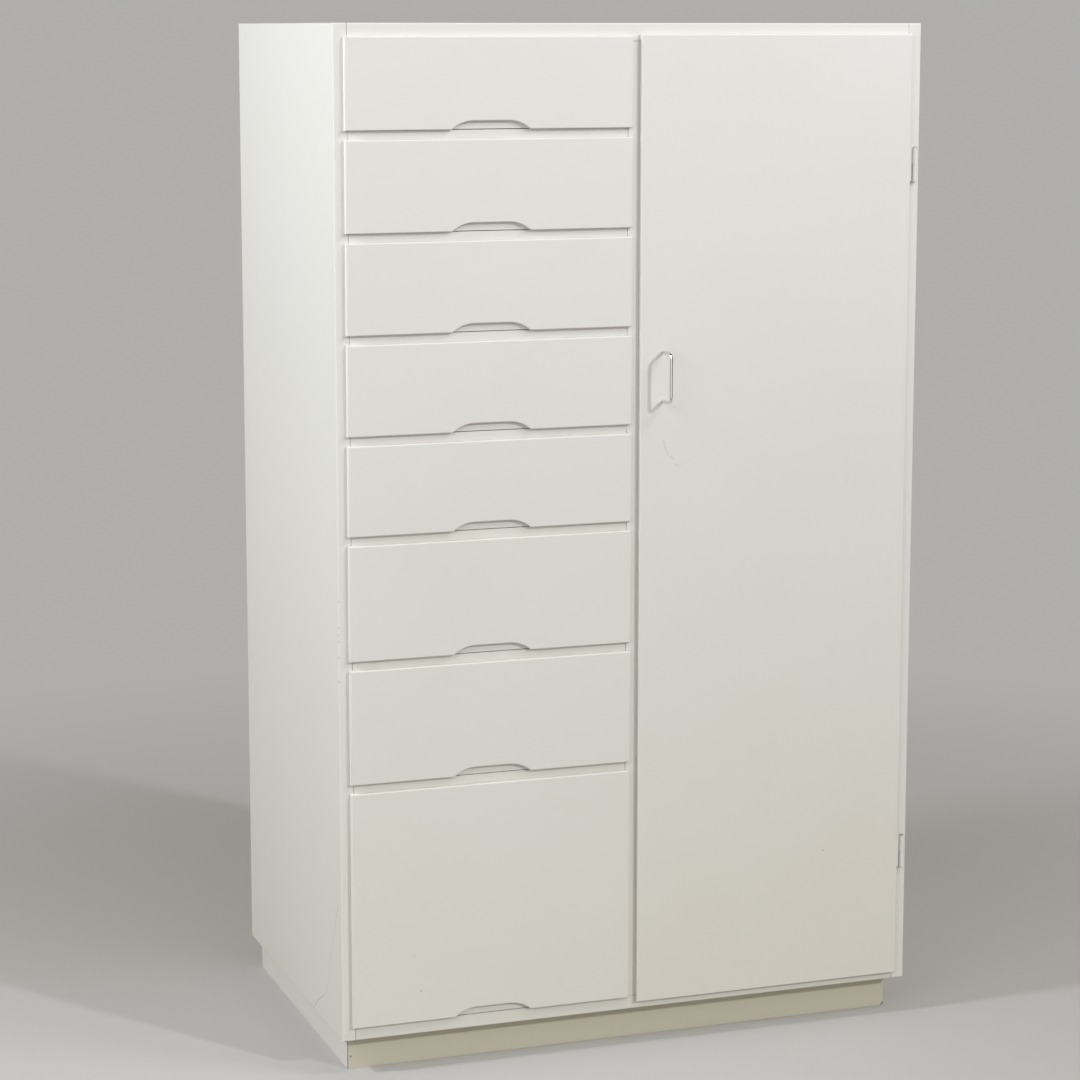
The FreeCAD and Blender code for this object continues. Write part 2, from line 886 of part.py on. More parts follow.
def drawer_box(number, level, opening):
    """The box: two dovetailed sides, a front board with the pins, a rear board and the bottom."""
    name = f"drawer_{number}"
    high = opening - size("box_running_gap") - size("box_head_gap")
    side_thick = size("side_board_thickness")
    box_left = bay_left + size("box_side_gap")
    box_right = bay_right - size("box_side_gap")
    low = level + size("box_running_gap")
    bottom_low = low + size("bottom_lift")
    bottom_high = bottom_low + size("drawer_bottom_thickness")
    tongue = side_thick - size("groove_depth")
    box_rear = face_back + size("box_length")
    front_inner = face_back + size("front_board_thickness")

    bottom = board(
        f"{name}_bottom",
        (box_left + tongue, front_inner - size("groove_depth"), bottom_low),
        (box_right - tongue, box_rear, bottom_high),
    )
    named(f"{name}_bottom", bottom)
    walls = []
    for side, x in (("left", box_left), ("right", box_right - side_thick)):
        tailed = dovetailed_side(f"{name}_{side}_board", high)
        put(tailed, x, face_back, low)
        walls.append(cut(f"{name}_{side}", tailed, [bottom]))
    blank = board(
        f"{name}_front_blank",
        (box_left, face_back, low + size("front_board_lift")),
        (box_right, front_inner, low + high),
    )
    front_board = cut(f"{name}_front", blank, walls + [bottom])
    rear_board = board(
        f"{name}_rear",
        (box_left + side_thick, box_rear - size("rear_board_thickness"), bottom_high),
        (box_right - side_thick, box_rear, low + high - size("rear_board_drop")),
    )
    named(f"{name}_box", compound(f"{name}_box", [front_board] + walls + [rear_board]))


# Assembly

frame_recesses, door_recesses = make_hinges()
handle_holes = make_handle()
make_door(door_recesses + handle_holes)
make_catch()
rails = [make_rail(number, level) for number, level, _ in levels[1:]]
make_sides(frame_recesses, rails)
make_partition(rails)
cross_panel("bottom_panel", panel, base, False)
cross_panel("top_panel", size("top_thickness"), top_under, True)
make_runners()
make_back()
make_plinth()
make_shelves()
for number, level, opening in levels:
    drawer_face(number, level, opening)
    drawer_box(number, level, opening)
doc.recompute()


# Checks and export

for thing in doc.Objects:
    if "Invalid" in thing.State or "Error" in thing.State:
        raise RuntimeError(f"{thing.Label} failed: {thing.getStatusString()}")
for name, thing in nodes.items():
    if thing.Shape.isNull() or not thing.Shape.isValid() or not thing.Shape.Solids:
        raise RuntimeError(f"{name} has no valid solid")

os.makedirs("parts", exist_ok=True)
for name, thing in nodes.items():
    thing.Shape.exportStep(f"parts/{name}.step")
print(len(nodes), "nodes")
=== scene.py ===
import math

import bmesh
import bpy
from bpy.props import FloatProperty, FloatVectorProperty, IntProperty, PointerProperty
from mathutils import Matrix, Vector


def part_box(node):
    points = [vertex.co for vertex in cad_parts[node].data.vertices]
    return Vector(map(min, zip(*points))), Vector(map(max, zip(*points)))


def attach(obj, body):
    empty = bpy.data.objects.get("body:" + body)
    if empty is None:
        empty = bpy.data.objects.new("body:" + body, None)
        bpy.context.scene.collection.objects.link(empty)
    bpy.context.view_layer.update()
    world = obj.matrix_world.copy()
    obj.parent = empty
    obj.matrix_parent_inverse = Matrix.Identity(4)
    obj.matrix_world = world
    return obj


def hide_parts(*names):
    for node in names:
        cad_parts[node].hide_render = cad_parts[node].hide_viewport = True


bl_info = {
    "name": "Painted Drawer Cupboard",
    "version": (1, 0, 0),
    "blender": (4, 5, 0),
    "location": "3D Viewport > Sidebar > Cupboard",
    "description": "Dresses the cupboard's frame with its paint, timber, fittings and studio",
    "category": "Object",
}

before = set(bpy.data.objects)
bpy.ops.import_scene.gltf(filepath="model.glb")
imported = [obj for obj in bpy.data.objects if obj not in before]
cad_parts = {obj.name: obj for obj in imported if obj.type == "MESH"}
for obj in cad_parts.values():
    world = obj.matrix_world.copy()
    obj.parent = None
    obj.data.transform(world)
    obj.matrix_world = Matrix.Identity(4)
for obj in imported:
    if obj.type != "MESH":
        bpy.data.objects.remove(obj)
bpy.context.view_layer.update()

MM = 0.001
DRAWERS = range(1, 9)
SHELVES = range(1, 5)
HINGES = ("upper", "lower")

# How near counts as one place: when choosing edges, and when merging vertices
NEARLY = 0.01 * MM
MERGED = 0.001 * MM

FLOAT = "NodeSocketFloat"
VECTOR = "NodeSocketVector"
COLOUR = "NodeSocketColor"


# What a user can set

def colour(name, description, default):
    return FloatVectorProperty(
        name=name, description=description, subtype="COLOR", min=0.0, max=1.0, default=default
    )


def length(name, description, default):
    return FloatProperty(
        name=name, description=description, unit="LENGTH", min=0.0, precision=4, default=default
    )


def angle(name, description, degrees):
    return FloatProperty(
        name=name, description=description, subtype="ANGLE", default=math.radians(degrees)
    )


def power(name, description, watts):
    return FloatProperty(name=name, description=description, unit="POWER", min=0.0, default=watts)


def strength(name, description, default):
    return FloatProperty(name=name, description=description, min=0.0, default=default)


class CupboardColours(bpy.types.PropertyGroup):
    """Colours of the finishes."""

    paint: colour("Paint", "Satin paint of the outside", (0.80, 0.80, 0.785))
    # Aged paint is also the darker, warmer tone painted towards the bottom as shade and bounce
    # light.
    aged_paint: colour("Aged paint", "Paint that has yellowed", (0.65, 0.61, 0.49))
    # This colour also serves as painted shade in corners, gaps and under overhangs.
    grime: colour("Grime", "Dirt in corners and joints", (0.16, 0.13, 0.09))
    undercoat: colour("Worn arris", "Undercoat and wood under the paint", (0.30, 0.19, 0.11))
    pine: colour("Pine", "Pale wood of the drawer boxes", (0.62, 0.43, 0.23))
    pine_rings: colour("Pine rings", "Late wood of the drawer boxes", (0.42, 0.23, 0.09))
    board: colour("Board", "Thin board of the back and the drawer bottoms", (0.50, 0.36, 0.21))
    steel: colour("Steel", "Plated steel", (0.56, 0.55, 0.53))
    catch: colour("Catch", "Moulded case of the catch", (0.055, 0.035, 0.025))


class CupboardSizes(bpy.types.PropertyGroup):
    """Sizes of the pieces that dress the frame."""

    arris: length("Arris", "Rounding of the drawer faces' front edges", 2.0 * MM)
    notch_width: length("Notch width", "Width of the finger notch at its foot", 130 * MM)
    notch_flat: length("Notch flat", "Level part of the finger notch", 57 * MM)
    notch_depth: length("Notch depth", "Height of the finger notch", 13.5 * MM)
    grip_bevel: length("Grip bevel", "Bevel behind the finger notch", 4.0 * MM)
    wire: length("Wire", "Diameter of the handle's wire", 5.2 * MM)
    wire_bend: length("Wire bend", "Bend radius at the middle of the wire", 9 * MM)
    screw_head: length("Screw head", "Diameter of a hinge screw's head", 6.4 * MM)
    screw_height: length("Screw head height", "Height of a hinge screw's head", 1.6 * MM)
    small_screw: length("Small screw", "Diameter of the screw heads inside", 7.0 * MM)
    arc_steps: IntProperty(
        name="Arc steps", description="Facets in a quarter bend", min=4, default=12
    )


class CupboardStudio(bpy.types.PropertyGroup):
    """Camera, lamps and floor."""

    lens: FloatProperty(
        name="Lens", description="Focal length for a 36 mm sensor", unit="CAMERA", default=98.2
    )
    camera_place: FloatVectorProperty(
        name="Camera", description="Where the camera stands", subtype="TRANSLATION",
        default=(-1.72137, -4.67425, 1.67307),
    )
    camera_yaw: angle("Yaw", "Turn to the right of the front's normal", 19.38)
    camera_pitch: angle("Pitch", "Tilt below the horizon", 8.71)
    key_strength: strength("Key", "Strength of the key light", 1.0)
    key_azimuth: angle("Key azimuth", "Key light's angle to the right of the front's normal", 34.0)
    key_elevation: angle("Key elevation", "Key light's angle above the horizon", 25.7)
    key_spread: angle("Key spread", "How wide the key light looks, for softer shadows", 3.0)
    fill_power: power("Fill", "Power of the broad fill lamp", 57.0)
    side_power: power("Side", "Power of the side lamp", 57.0)
    top_power: power("Top", "Power of the lamp above", 27.0)
    ambient: strength("Ambient", "Strength of the room's light", 0.37)
    floor: colour("Floor", "Colour of the floor and the backdrop", (0.43, 0.425, 0.42))


def colours():
    return bpy.context.scene.cupboard_colours


def sizes():
    return bpy.context.scene.cupboard_sizes


def studio():
    return bpy.context.scene.cupboard_studio


# Shader writing

class Tree:
    """Writes shader nodes. Whatever a node is given is a plain value or another node's socket."""

    def __init__(self, tree):
        self.tree = tree

    def feed(self, socket, value):
        if isinstance(value, bpy.types.NodeSocket):
            self.tree.links.new(value, socket)
        elif isinstance(value, (tuple, list)) or hasattr(value, "r"):
            values = tuple(value)
            wanted = len(socket.default_value)
            socket.default_value = values + (1.0,) * (wanted - len(values))
        else:
            socket.default_value = value

    def node(self, kind, given=None, **settings):
        made = self.tree.nodes.new(kind)
        for name, value in settings.items():
            setattr(made, name, value)
        for name, value in (given or {}).items():
            self.feed(made.inputs[name], value)
        return made

    def math(self, operation, first, second=0.0, clamped=False):
        given = {0: first, 1: second}
        return self.node("ShaderNodeMath", given, operation=operation, use_clamp=clamped).outputs[0]

    def plus(self, first, second, clamped=False):
        return self.math("ADD", first, second, clamped)

    def minus(self, first, second):
        return self.math("SUBTRACT", first, second)

    def times(self, first, second):
        return self.math("MULTIPLY", first, second)

    def vector(self, operation, first, second=(0.0, 0.0, 0.0)):
        made = self.node("ShaderNodeVectorMath", {0: first, 1: second}, operation=operation)
        scalar = operation in ("DOT_PRODUCT", "DISTANCE", "LENGTH")
        return made.outputs["Value" if scalar else "Vector"]

    def scaled(self, vector, factor):
        made = self.node("ShaderNodeVectorMath", {0: vector, "Scale": factor}, operation="SCALE")
        return made.outputs["Vector"]

    def blend(self, amount, first, second):
        """From one colour to another."""
        made = self.node("ShaderNodeMix", {0: amount, 6: first, 7: second}, data_type="RGBA")
        return made.outputs[2]

    def ease(self, value, low, high, to_low=0.0, to_high=1.0):
        """A smooth rise from one value to another."""
        names = ("Value", "From Min", "From Max", "To Min", "To Max")
        given = dict(zip(names, (value, low, high, to_low, to_high)))
        made = self.node("ShaderNodeMapRange", given, interpolation_type="SMOOTHSTEP")
        return made.outputs["Result"]

    def noise(self, vector, scale, detail=2.0, roughness=0.5):
        made = self.node(
            "ShaderNodeTexNoise",
            {"Vector": vector, "Scale": scale, "Detail": detail, "Roughness": roughness},
        )
        return made.outputs["Fac"]

    def here(self):
        return self.node("ShaderNodeTexCoord").outputs["Object"]

    def split(self, vector):
        return self.node("ShaderNodeSeparateXYZ", {"Vector": vector}).outputs

    def use(self, name, **given):
        """Places a shader group with its own values."""
        made = self.node("ShaderNodeGroup", node_tree=bpy.data.node_groups[name])
        for socket, value in given.items():
            self.feed(made.inputs[socket], value)
        return made.outputs


def shader_group(name, inputs, outputs):
    """A new node group with its sockets: its writer, what it is given and what it puts out."""
    group = bpy.data.node_groups.new(name, "ShaderNodeTree")
    for socket, (kind, default) in inputs.items():
        group.interface.new_socket(socket, in_out="INPUT", socket_type=kind).default_value = default
    for socket, kind in outputs.items():
        group.interface.new_socket(socket, in_out="OUTPUT", socket_type=kind)
    tree = Tree(group)
    return tree, tree.node("NodeGroupInput").outputs, tree.node("NodeGroupOutput").inputs


def soft_arris_group():
    """Rounds the look of sharp edges, and tells where they are."""
    tree, given, out = shader_group(
        "soft_arris", {"Radius": (FLOAT, MM)}, {"Normal": VECTOR, "Edge": FLOAT}
    )
    rounded = tree.node("ShaderNodeBevel", {"Radius": given["Radius"]}, samples=4).outputs[0]
    flat = tree.node("ShaderNodeNewGeometry").outputs["True Normal"]
    tree.feed(out["Normal"], rounded)
    tree.feed(out["Edge"], tree.ease(tree.vector("DOT_PRODUCT", rounded, flat), 0.99, 0.80))


def brushed_paint_group():
    """Satin paint laid on with a brush: strokes, a light peel, cloudy yellowing, and painted shade
    with warm bounce light that makes it darker and yellower towards the bottom.
    """
    tree, given, out = shader_group(
        "brushed_paint",
        {
            "Vector": (VECTOR, (0, 0, 0)),
            "Strokes": (VECTOR, (1, 1, 1)),
            "Paint": (COLOUR, (1, 1, 1, 1)),
            "Aged": (COLOUR, (1, 1, 1, 1)),
            "Ageing": (FLOAT, 0.3),
        },
        {"Color": COLOUR, "Roughness": FLOAT, "Height": FLOAT},
    )
    strokes = tree.noise(tree.vector("MULTIPLY", given["Vector"], given["Strokes"]), 1.0, 4.0, 0.6)
    peel = tree.noise(given["Vector"], 420.0, 2.0)
    cloud = tree.noise(given["Vector"], 2.2, 5.0, 0.55)
    # Painted shade and warm bounce light: the paint turns darker and yellower towards the bottom.
    low = tree.ease(tree.split(given["Vector"])["Z"], 1.75, -0.25, 0.0, 1.3)
    clouded = tree.times(tree.ease(cloud, 0.35, 0.75), 0.35)
    streaked = tree.times(strokes, 0.15)
    aged = tree.times(tree.plus(tree.plus(clouded, streaked), low), given["Ageing"])
    tree.feed(out["Color"], tree.blend(aged, given["Paint"], given["Aged"]))
    tree.feed(out["Roughness"], tree.ease(tree.plus(strokes, cloud), 0.6, 1.5, 0.44, 0.58))
    relief = tree.plus(tree.times(strokes, 0.75), tree.times(peel, 0.25))
    tree.feed(out["Height"], relief)


def worn_arris_group():
    """Where paint has chipped off an edge, in uneven spots."""
    tree, given, out = shader_group(
        "worn_arris",
        {"Vector": (VECTOR, (0, 0, 0)), "Edge": (FLOAT, 0.0), "Wear": (FLOAT, 0.3)},
        {"Mask": FLOAT},
    )
    coarse = tree.noise(given["Vector"], 14.0, 3.0)
    fine = tree.noise(given["Vector"], 260.0, 3.0, 0.65)
    patchy = tree.plus(tree.times(coarse, 0.62), tree.times(fine, 0.38))
    limit = tree.minus(0.80, tree.times(given["Wear"], 0.40))
    chipped = tree.ease(tree.minus(patchy, limit), 0.0, 0.03)
    tree.feed(out["Mask"], tree.times(chipped, tree.ease(given["Edge"], 0.25, 0.75)))


def grime_and_shade_group():
    """Dirt that gathers in inner corners, together with painted shade: ambient occlusion darkens
    corners, gaps and the undersides of overhangs.
    """
    tree, given, out = shader_group(
        "grime",
        {"Vector": (VECTOR, (0, 0, 0)), "Reach": (FLOAT, 0.005), "Amount": (FLOAT, 0.3)},
        {"Mask": FLOAT},
    )
    # Painted shade: the ambient occlusion darkens the colour where corners and overhangs shade the
    # surface.
    around = tree.node("ShaderNodeAmbientOcclusion", {"Distance": given["Reach"]}, samples=3)
    open_air = around.outputs["AO"]
    patches = tree.noise(given["Vector"], 38.0, 4.0)
    closed = tree.ease(open_air, 0.62, 0.15)
    broken = tree.ease(patches, 0.25, 0.75)
    tree.feed(out["Mask"], tree.times(tree.times(closed, broken), given["Amount"]))


def joint_group():
    """A hairline where two boards meet, open in some places and closed in others."""
    tree, given, out = shader_group(
        "joint",
        {
            "Vector": (VECTOR, (0, 0, 0)),
            "Across": (FLOAT, 0.0),
            "Place": (FLOAT, 0.0),
            "Width": (FLOAT, MM),
        },
        {"Mask": FLOAT},
    )
    away = tree.math("ABSOLUTE", tree.minus(given["Across"], given["Place"]))
    line = tree.ease(tree.math("DIVIDE", away, given["Width"]), 1.0, 0.3)
    broken = tree.ease(tree.noise(given["Vector"], 55.0, 2.0), 0.28, 0.5)
    tree.feed(out["Mask"], tree.times(line, broken))


def scratch_group():
    """A wandering line from one point to another."""
    tree, given, out = shader_group(
        "scratch",
        {
            "Vector": (VECTOR, (0, 0, 0)),
            "Start": (VECTOR, (0, 0, 0)),
            "End": (VECTOR, (0, 0, 1)),
            "Width": (FLOAT, MM),
            "Wander": (FLOAT, MM),
        },
        {"Mask": FLOAT},
    )
    wobble = tree.node("ShaderNodeTexNoise", {"Vector": given["Vector"], "Scale": 45.0})
    drift = wobble.outputs["Color"]
    moved = tree.vector("SUBTRACT", drift, (0.5, 0.5, 0.5))
    point = tree.vector("ADD", given["Vector"], tree.scaled(moved, given["Wander"]))
    run = tree.vector("SUBTRACT", given["End"], given["Start"])
    reach = tree.vector("SUBTRACT", point, given["Start"])
    along = tree.vector("DOT_PRODUCT", reach, run)
    share = tree.math("DIVIDE", along, tree.vector("DOT_PRODUCT", run, run), True)
    away = tree.vector("DISTANCE", reach, tree.scaled(run, share))
    tree.feed(out["Mask"], tree.ease(tree.math("DIVIDE", away, given["Width"]), 1.0, 0.35))


def timber_group():
    """Planed softwood whose grain runs along X: growth rings round a distant pith, and fibres."""
    tree, given, out = shader_group(
        "timber",
        {
            "Vector": (VECTOR, (0, 0, 0)),
            "Pale": (COLOUR, (1, 1, 1, 1)),
            "Ring": (COLOUR, (0.5, 0.5, 0.5, 1)),
            "Spacing": (FLOAT, 5 * MM),
        },
        {"Color": COLOUR, "Roughness": FLOAT, "Height": FLOAT},
    )
    slow = tree.vector("MULTIPLY", given["Vector"], (1.1, 6.0, 6.0))
    bend = tree.times(tree.noise(slow, 1.0, 3.0), 0.05)
    flat = tree.vector("MULTIPLY", given["Vector"], (0.0, 1.0, 1.0))
    pith = tree.vector("DISTANCE", flat, (0.0, 0.11, -0.23))
    rings = tree.math("DIVIDE", tree.plus(pith, bend), given["Spacing"])
    phase = tree.math("FRACT", rings)
    late = tree.times(tree.ease(phase, 0.35, 0.92), tree.ease(phase, 1.0, 0.94))
    drawn_out = tree.vector("MULTIPLY", given["Vector"], (14.0, 620.0, 620.0))
    fibres = tree.noise(drawn_out, 1.0, 3.0, 0.6)
    mottled = tree.noise(given["Vector"], 5.0, 3.0)
    dark = tree.plus(tree.times(late, 0.55), tree.times(fibres, 0.32))
    dark = tree.plus(dark, tree.times(tree.minus(mottled, 0.5), 0.5), True)
    tree.feed(out["Color"], tree.blend(dark, given["Pale"], given["Ring"]))
    tree.feed(out["Roughness"], tree.ease(fibres, 0.2, 0.8, 0.55, 0.75))
    tree.feed(out["Height"], tree.minus(fibres, tree.times(late, 0.3)))


def smudged_metal_group():
    """Fine wiping marks and dull patches on plated metal."""
    tree, given, out = shader_group(
        "smudged_metal",
        {"Vector": (VECTOR, (0, 0, 0)), "Gloss": (FLOAT, 0.1), "Dull": (FLOAT, 0.3)},
        {"Roughness": FLOAT, "Height": FLOAT, "Spots": FLOAT},
    )
    patches = tree.noise(given["Vector"], 90.0, 4.0, 0.6)
    hairs = tree.noise(tree.vector("MULTIPLY", given["Vector"], (900.0, 900.0, 60.0)), 1.0, 2.0)
    smudge = tree.ease(tree.plus(patches, tree.times(hairs, 0.3)), 0.45, 0.95)
    spread = tree.times(smudge, given["Dull"])
    tree.feed(out["Roughness"], tree.plus(given["Gloss"], spread))
    tree.feed(out["Height"], hairs)
    tree.feed(out["Spots"], tree.ease(tree.noise(given["Vector"], 700.0, 2.0), 0.70, 0.78))


def shader_groups():
    for build in (
        soft_arris_group,
        brushed_paint_group,
        worn_arris_group,
        grime_and_shade_group,
        joint_group,
        scratch_group,
        timber_group,
        smudged_metal_group,
    ):
        build()


# Finishes

def new_material(name):
    """An empty material: its writer, its surface shader and itself."""
    material = bpy.data.materials.new(name)
    material.use_nodes = True
    material.node_tree.nodes.clear()
    tree = Tree(material.node_tree)
    surface = tree.node("ShaderNodeBsdfPrincipled")
    tree.node("ShaderNodeOutputMaterial", {"Surface": surface.outputs[0]})
    return tree, surface.inputs, material


def relief(tree, surface, height, depth, normal=None):
    """Gives a surface its fine relief."""
    given = {"Height": height, "Strength": 1.0, "Distance": depth}
    if normal is not None:
        given["Normal"] = normal
    tree.feed(surface["Normal"], tree.node("ShaderNodeBump", given).outputs[0])


# The brush strokes' scale on each axis, long along one of them
ALONG_X = (7.0, 380.0, 380.0)
ALONG_Y = (380.0, 7.0, 380.0)
ALONG_Z = (380.0, 380.0, 7.0)
PAINT_GLOSS = 0.22
PAINT_RELIEF = 0.07 * MM
WOOD_RELIEF = 0.15 * MM
METAL_RELIEF = 0.01 * MM


def painted(name, strokes, ageing=0.3, wear=0.3, arris=0.8 * MM, corner_dirt_and_shade=0.3, joints=(), marks=()):
    """Paint on wood. A joint is an axis, the places of its hairlines and their width. A mark is its
    two ends, its width, how far it wanders and how dark it is."""
    tree, surface, material = new_material(name)
    tones = colours()
    here = tree.here()
    paint = tree.use(
        "brushed_paint", Vector=here, Strokes=strokes, Paint=tones.paint, Aged=tones.aged_paint,
        Ageing=ageing,
    )
    edge = tree.use("soft_arris", Radius=arris)
    chipped = tree.use("worn_arris", Vector=here, Edge=edge["Edge"], Wear=wear)["Mask"]
    # Corner dirt and painted shade: the paint darkens towards the grime colour where ambient
    # occlusion finds corners and gaps.
    dirt_and_shade = tree.use("grime", Vector=here, Amount=corner_dirt_and_shade)["Mask"]
    tint = tree.blend(dirt_and_shade, paint["Color"], tones.grime)
    for axis, spots, broad in joints:
        across = tree.split(here)[axis]
        for spot in spots:
            line = tree.use("joint", Vector=here, Across=across, Place=spot, Width=broad)["Mask"]
            tint = tree.blend(tree.times(line, 0.9), tint, tones.grime)
    for start, end, broad, wander, depth in marks:
        line = tree.use("scratch", Vector=here, Start=start, End=end, Width=broad, Wander=wander)
        tint = tree.blend(tree.times(line["Mask"], depth), tint, tones.grime)
    tint = tree.blend(chipped, tint, tones.undercoat)
    tree.feed(surface["Base Color"], tint)
    rough = tree.plus(paint["Roughness"], tree.times(chipped, 0.25))
    tree.feed(surface["Roughness"], rough)
    tree.feed(surface["Specular IOR Level"], PAINT_GLOSS)
    height = tree.minus(paint["Height"], tree.times(chipped, 1.5))
    relief(tree, surface, height, PAINT_RELIEF, edge["Normal"])
    return material


def timber(name, turn, pale, ring, spacing=5 * MM, arris=0.5 * MM, painted_to=None):
    """Bare wood. The turn brings the grain's own direction onto X. Paint may cover its front."""
    tree, surface, material = new_material(name)
    here = tree.here()
    turned = tree.node("ShaderNodeMapping", {"Vector": here, "Rotation": turn}).outputs[0]
    wood = tree.use("timber", Vector=turned, Pale=pale, Ring=ring, Spacing=spacing)
    edge = tree.use("soft_arris", Radius=arris)
    # Corner dirt and painted shade: the wood darkens where ambient occlusion finds corners and
    # gaps.
    dirt_and_shade = tree.use("grime", Vector=here, Amount=0.45)["Mask"]
    tint, gloss = wood["Color"], wood["Roughness"]
    if painted_to is not None:
        tones = colours()
        paint = tree.use(
            "brushed_paint", Vector=here, Strokes=ALONG_X, Paint=tones.paint, Aged=tones.aged_paint
        )
        ragged = tree.times(tree.noise(here, 160.0), 2 * MM)
        depth = tree.minus(tree.split(here)["Y"], ragged)
        cover = tree.ease(depth, painted_to, painted_to - 0.4 * MM)
        tint = tree.blend(cover, tint, paint["Color"])
        gloss = tree.ease(cover, 0.0, 1.0, 0.65, 0.42)
    tree.feed(surface["Base Color"], tree.blend(dirt_and_shade, tint, colours().grime))
    tree.feed(surface["Roughness"], gloss)
    relief(tree, surface, wood["Height"], WOOD_RELIEF, edge["Normal"])
    return material


def plated(name, tint, gloss, dull):
    """Plated metal with wiping marks."""
    tree, surface, material = new_material(name)
    here = tree.here()
    metal = tree.use("smudged_metal", Vector=here, Gloss=gloss, Dull=dull)
    tree.feed(surface["Metallic"], 1.0)
    spotted = tree.times(metal["Spots"], 0.35)
    tree.feed(surface["Base Color"], tree.blend(spotted, tint, colours().grime))
    tree.feed(surface["Roughness"], metal["Roughness"])
    relief(tree, surface, metal["Height"], METAL_RELIEF)
    return material


def dress(nodes, material):
    """Gives frame nodes their finish."""
    for name in nodes:
        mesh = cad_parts[name].data
        mesh.materials.clear()
        mesh.materials.append(material)


# Shaping

def only_face(bm):
    return next(iter(bm.faces))


def pushed(bm, face, move):
    """Draws a face out and returns the new one."""
    made = bmesh.ops.extrude_face_region(bm, geom=[face])["geom"]
    verts = [part for part in made if isinstance(part, bmesh.types.BMVert)]
    bmesh.ops.translate(bm, verts=verts, vec=move)
    return next(part for part in made if isinstance(part, bmesh.types.BMFace))


def bent(bm, face, centre, axis, angle):
    """Draws a face out round a bend and returns the new one."""
    made = bmesh.ops.spin(
        bm, geom=[face, *face.edges, *face.verts], cent=centre, axis=axis, dvec=(0, 0, 0),
        angle=angle, steps=sizes().arc_steps, use_merge=False, use_duplicate=False,
    )
    return next(part for part in made["geom_last"] if isinstance(part, bmesh.types.BMFace))


def drawn(bm, vert, move):
    """Draws a line on from a vertex and returns its far end."""
    point = bmesh.ops.extrude_vert_indiv(bm, verts=[vert])["verts"][0]
    bmesh.ops.translate(bm, verts=[point], vec=move)
    return point


def swung(bm, vert, centre, axis, angle, steps):
    """Draws an arc on from a vertex and returns its far end."""
    made = bmesh.ops.spin(
        bm, geom=[vert], cent=centre, axis=axis, dvec=(0, 0, 0), angle=angle, steps=steps,
        use_merge=False, use_duplicate=False,
    )
    return next(part for part in made["geom_last"] if isinstance(part, bmesh.types.BMVert))


def rounded(bm, edges, radius, segments):
    """Rounds edges, or bevels them with one segment."""
    return bmesh.ops.bevel(
        bm, geom=edges, offset=radius, offset_type="OFFSET", segments=segments, profile=0.5,
        affect="EDGES", clamp_overlap=True, material=-1,
    )


def finished(bm, name, body, material, replaced=(), smooth=40.0):
    """Turns a shape into a piece of the cupboard."""
    bmesh.ops.remove_doubles(bm, verts=bm.verts, dist=MERGED)
    bmesh.ops.recalc_face_normals(bm, faces=bm.faces)
    mesh = bpy.data.meshes.new(name)
    bm.to_mesh(mesh)
    bm.free()
    mesh.materials.append(material)
    mesh.shade_smooth()
    mesh.set_sharp_from_angle(angle=math.radians(smooth))
    piece = bpy.data.objects.new(name, mesh)
    bpy.context.scene.collection.objects.link(piece)
    even = piece.modifiers.new("even_shading", "WEIGHTED_NORMAL")
    even.keep_sharp = True
    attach(piece, body)
    if replaced:
        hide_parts(*replaced)
    return piece


def slotted_head(bm, seat, facing, radius, height, turn):
    """A screw head with its slot, standing on a seat and facing along a direction."""
    head = bmesh.new()
    bmesh.ops.create_circle(head, cap_ends=True, segments=22, radius=radius)
    pushed(head, only_face(head), (0, 0, height))
    slot = radius * 0.16
    floor = height * 0.45
    near_top = height * 0.99
    cuts = [((slot, 0, 0), (1, 0, 0)), ((-slot, 0, 0), (1, 0, 0)), ((0, 0, floor), (0, 0, 1))]
    for place, normal in cuts:
        bmesh.ops.bisect_plane(
            head, geom=[*head.verts, *head.edges, *head.faces], dist=0.1 * MERGED,
            plane_co=place, plane_no=normal,
        )

    def in_slot(face):
        return abs(face.calc_center_median().x) < slot / 2

    head.faces.ensure_lookup_table()
    strip = next(
        face for face in head.faces if face.calc_center_median().z > near_top and in_slot(face)
    )
    pushed(head, strip, (0, 0, floor - height))
    ends = [
        face for face in head.faces
        if in_slot(face) and floor * 1.01 < face.calc_center_median().z
        and abs(face.calc_center_median().y) > radius * 0.8
    ]
    bmesh.ops.delete(head, geom=ends, context="FACES")
    bmesh.ops.remove_doubles(head, verts=head.verts, dist=MERGED)
    rim = [
        edge for edge in head.edges
        if all(vert.co.z > near_top and vert.co.xy.length > radius * 0.97 for vert in edge.verts)
        and abs(edge.verts[0].co.y + edge.verts[1].co.y) > 0
        and edge.calc_length() < radius * 0.5
        and not all(abs(abs(vert.co.x) - slot) < MERGED for vert in edge.verts)
    ]
    rounded(head, rim, height * 0.35, 2)
    aim = Vector(facing).to_track_quat("Z", "X").to_matrix().to_4x4()
    place = Matrix.Translation(seat) @ aim @ Matrix.Rotation(turn, 4, "Z")
    bmesh.ops.transform(head, matrix=place, verts=head.verts)
    spare = bpy.data.meshes.new("head")
    head.to_mesh(spare)
    head.free()
    bm.from_mesh(spare)
    bpy.data.meshes.remove(spare)


def screws(name, body, material, places, facing, radius, height, replaced=()):
    """A set of screw heads as one piece. Their slots stand at different angles."""
    bm = bmesh.new()
    for step, seat in enumerate(places):
        slotted_head(bm, seat, facing, radius, height, 0.7 + 1.9 * step)
    return finished(bm, name, body, material, replaced)


# Pieces

# The photograph's frame and the camera's shift in pixels, and its sensor in mm
FRAME_PIXELS = 1080
FRAME_SHIFT = (6.96, -59.65)
SENSOR = 36.0

